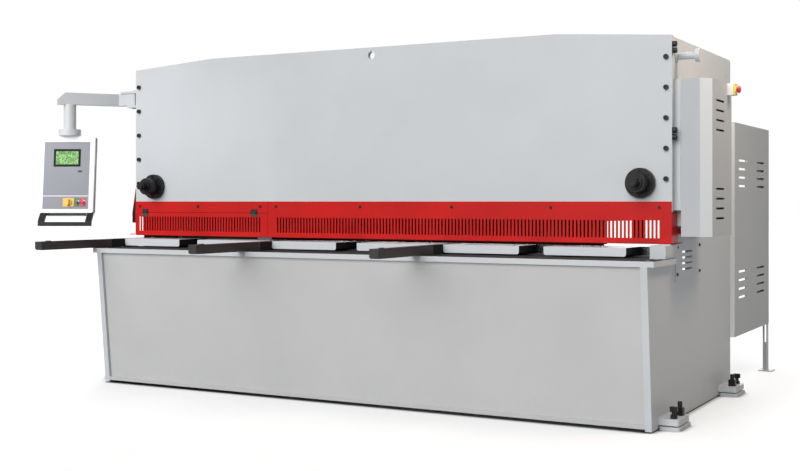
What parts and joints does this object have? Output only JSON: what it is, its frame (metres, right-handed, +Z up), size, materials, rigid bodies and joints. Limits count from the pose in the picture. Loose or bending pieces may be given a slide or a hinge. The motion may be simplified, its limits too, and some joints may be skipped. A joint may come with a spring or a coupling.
{
  "type": "hydraulic guillotine shear",
  "caption": "Hydraulic guillotine shear for sheet metal with raked cutting beam, hold-downs, slotted finger guard, support arms, back gauge, rear fences and swinging control pendant.",
  "frame": {"origin": "on the floor, under the middle of the machine's bounding box", "axes": "+X along the blades to the operator's right, +Y from the operator to the rear, +Z up"},
  "size_m": [4.1502, 2.964, 1.93],
  "materials": {
    "painted_grey": "smooth satin paint",
    "painted_dark_grey": "satin paint",
    "pad_grey": "satin paint with a ground top face",
    "arm_black": "dark paint with a ground top face",
    "blackened_steel": "black oxide",
    "machined_steel": "turned and milled",
    "tool_steel": "ground",
    "chromed_rod": "polished",
    "cast_dark": "dark primer",
    "guard_red": "smooth gloss paint",
    "case_white": "fine textured powder coat",
    "panel_grey": "printed film over aluminium",
    "signal_yellow": "moulded",
    "signal_orange": "moulded",
    "shell_grey": "fine textured powder coat",
    "signal_red": "moulded",
    "signal_green": "moulded",
    "black_plastic": "moulded",
    "motor_blue": "satin paint"
  },
  "bodies": {
    "frame": {"side_frame_left": "painted_grey", "side_frame_right": "painted_grey", "base_front_panel": "painted_grey", "rear_tie_beam": "painted_dark_grey", "table_plate": "painted_grey", "bed_beam": "arm_black", "lower_blade": "tool_steel", "table_pads": "pad_grey", "table_end_blocks": "painted_grey", "support_arms": "arm_black", "front_plate": "painted_grey", "cap_screws": "blackened_steel", "hold_down_beam": "cast_dark", "hold_down_barrels": "machined_steel", "guide_units": "blackened_steel", "guard_left_rail": "guard_red", "guard_hinges": "blackened_steel", "guard_right": "guard_red", "cabinet_back": "painted_grey", "cabinet_cover": "painted_grey", "throat_covers": "painted_grey", "lifting_trunnion": "painted_grey", "levelling_pads": "painted_grey", "levelling_screws": "blackened_steel", "fences": "painted_dark_grey", "fence_legs": "painted_grey", "estop_box": "case_white", "estop_lid": "signal_yellow", "pendant_bracket": "painted_grey", "cylinder_barrels": "cast_dark", "oil_tank": "painted_grey", "power_unit": "motor_blue", "rear_chute": "painted_dark_grey"},
    "arm_stop_a": {"arm_stop_1": "blackened_steel"},
    "arm_stop_b": {"arm_stop_2": "blackened_steel"},
    "arm_stop_c": {"arm_stop_3": "blackened_steel"},
    "hold_downs": {"hold_down_feet": "machined_steel"},
    "flap": {"guard_flap": "guard_red", "guard_flap_leaves": "cast_dark"},
    "estop_plunger": {"estop_button": "signal_red"},
    "swing_arm": {"pendant_arm": "painted_grey", "pendant_collar": "painted_grey"},
    "control_case": {"pendant_case": "case_white", "pendant_shell": "shell_grey", "pendant_face": "panel_grey", "pendant_screen": "black_plastic", "pendant_handle": "black_plastic", "pendant_lock": "black_plastic"},
    "start_plunger": {"start_button": "signal_green"},
    "stop_plunger": {"stop_button": "signal_red"},
    "switch_grip": {"main_switch": "signal_orange"},
    "left_ram": {"ram_rod_left": "chromed_rod"},
    "beam": {"cutting_beam": "painted_dark_grey", "upper_blade": "tool_steel", "gauge_rails": "machined_steel", "gauge_motor": "black_plastic"},
    "right_ram": {"ram_rod_right": "chromed_rod"},
    "left_gauge_screw": {"gauge_screw_left": "chromed_rod"},
    "right_gauge_screw": {"gauge_screw_right": "chromed_rod"},
    "gauge": {"gauge_beam": "cast_dark"}
  },
  "joints": [
    {"name": "ram_stroke", "type": "slide", "parent": "frame", "child": "left_ram", "axis": [0, 0, -1], "range_m": [0, 0.14]},
    {"name": "rake_angle", "type": "hinge", "parent": "left_ram", "child": "beam", "pos_m": [-1.34466, -0.3794, 1.33], "axis": [0, 1, 0], "range_deg": [-0.5, 1]},
    {"name": "right_ram_pin", "type": "hinge", "parent": "beam", "child": "right_ram", "pos_m": [1.65534, -0.3794, 1.33], "axis": [0, 1, 0], "range_deg": [-1, 0.5]},
    {"name": "hold_down_stroke", "type": "slide", "parent": "frame", "child": "hold_downs", "axis": [0, 0, -1], "range_m": [0, 0.03], "stiffness_N_per_m": 40000, "springref_m": -0.02},
    {"name": "guard_flap_hinge", "type": "hinge", "parent": "frame", "child": "flap", "pos_m": [0.15534, -0.701, 1.012], "axis": [-1, 0, 0], "range_deg": [0, 100]},
    {"name": "pendant_swing", "type": "hinge", "parent": "frame", "child": "swing_arm", "pos_m": [-1.60566, -0.62, 1.33], "axis": [0, 0, 1], "range_deg": [-60, 45]},
    {"name": "pendant_turn", "type": "hinge", "parent": "swing_arm", "child": "control_case", "pos_m": [-1.90337, -0.87145, 1.24427], "axis": [0, 0, 1], "range_deg": [-90, 90]},
    {"name": "start_press", "type": "slide", "parent": "control_case", "child": "start_plunger", "axis": [-0.4801, 0.8661, -0.1392], "range_m": [0, 0.004], "stiffness_N_per_m": 800, "springref_m": -0.002},
    {"name": "stop_press", "type": "slide", "parent": "control_case", "child": "stop_plunger", "axis": [-0.4801, 0.8661, -0.1392], "range_m": [0, 0.004], "stiffness_N_per_m": 800, "springref_m": -0.002},
    {"name": "main_switch_turn", "type": "hinge", "parent": "control_case", "child": "switch_grip", "pos_m": [-1.86575, -0.91663, 1.07097], "axis": [0.4801, -0.8661, 0.1392], "range_deg": [-90, 0]},
    {"name": "estop_press", "type": "slide", "parent": "frame", "child": "estop_plunger", "axis": [-1, 0, 0], "range_m": [0, 0.004]},
    {"name": "gauge_travel", "type": "slide", "parent": "beam", "child": "gauge", "axis": [0, 1, 0], "range_m": [-0.35, 0.4]},
    {"name": "left_gauge_screw_turn", "type": "hinge", "parent": "beam", "child": "left_gauge_screw", "pos_m": [-0.74459, -0.0494, 1.059], "axis": [0, 1, 0], "range_deg": [-3939, 4501]},
    {"name": "right_gauge_screw_turn", "type": "hinge", "parent": "beam", "child": "right_gauge_screw", "pos_m": [1.05527, -0.0494, 1.059], "axis": [0, 1, 0], "range_deg": [-3939, 4501]},
    {"name": "arm_stop_1_flip", "type": "hinge", "parent": "frame", "child": "arm_stop_a", "pos_m": [-1.55266, -1.42, 0.843], "axis": [1, 0, 0], "range_deg": [0, 90]},
    {"name": "arm_stop_2_flip", "type": "hinge", "parent": "frame", "child": "arm_stop_b", "pos_m": [-0.46166, -1.42, 0.843], "axis": [1, 0, 0], "range_deg": [0, 90]},
    {"name": "arm_stop_3_flip", "type": "hinge", "parent": "frame", "child": "arm_stop_c", "pos_m": [0.62634, -1.42, 0.843], "axis": [1, 0, 0], "range_deg": [0, 90]}
  ],
  "couplings": [
    {"joint": "right_ram_pin", "follows": "rake_angle", "ratio": -1},
    {"joint": "left_gauge_screw_turn", "follows": "gauge_travel", "rad_per_m": 196.35},
    {"joint": "right_gauge_screw_turn", "follows": "gauge_travel", "rad_per_m": 196.35}
  ]
}
